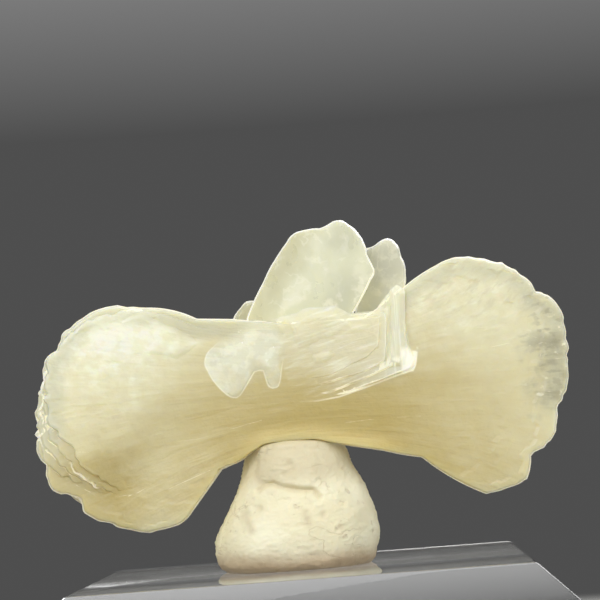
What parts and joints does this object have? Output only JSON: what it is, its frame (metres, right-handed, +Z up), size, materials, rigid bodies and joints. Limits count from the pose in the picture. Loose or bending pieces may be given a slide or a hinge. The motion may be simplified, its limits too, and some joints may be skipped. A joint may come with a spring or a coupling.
{
  "type": "stilbite bow-tie crystal specimen on a display base",
  "caption": "Honey-cream stilbite sheaf shaped like a bow tie, with upright clear blades, pressed into a cream putty lump on a clear bevelled square base.",
  "frame": {"origin": "centre of the base's underside, on the surface it stands on", "axes": "+Z up; the bow tie's length lies along X; the broad front face with the short cross-sheaf looks along -Y"},
  "size_m": [0.038, 0.038, 0.032],
  "materials": {
    "stilbite": "translucent, waxy to pearly, honey in the thick waist and pale at the rims",
    "putty": "matt, finely wrinkled",
    "acrylic": "clear, polished"
  },
  "bodies": {
    "root": {"stilbite_bow_tie": "stilbite", "mounting_putty": "putty", "acrylic_base": "acrylic"}
  },
  "joints": []
}
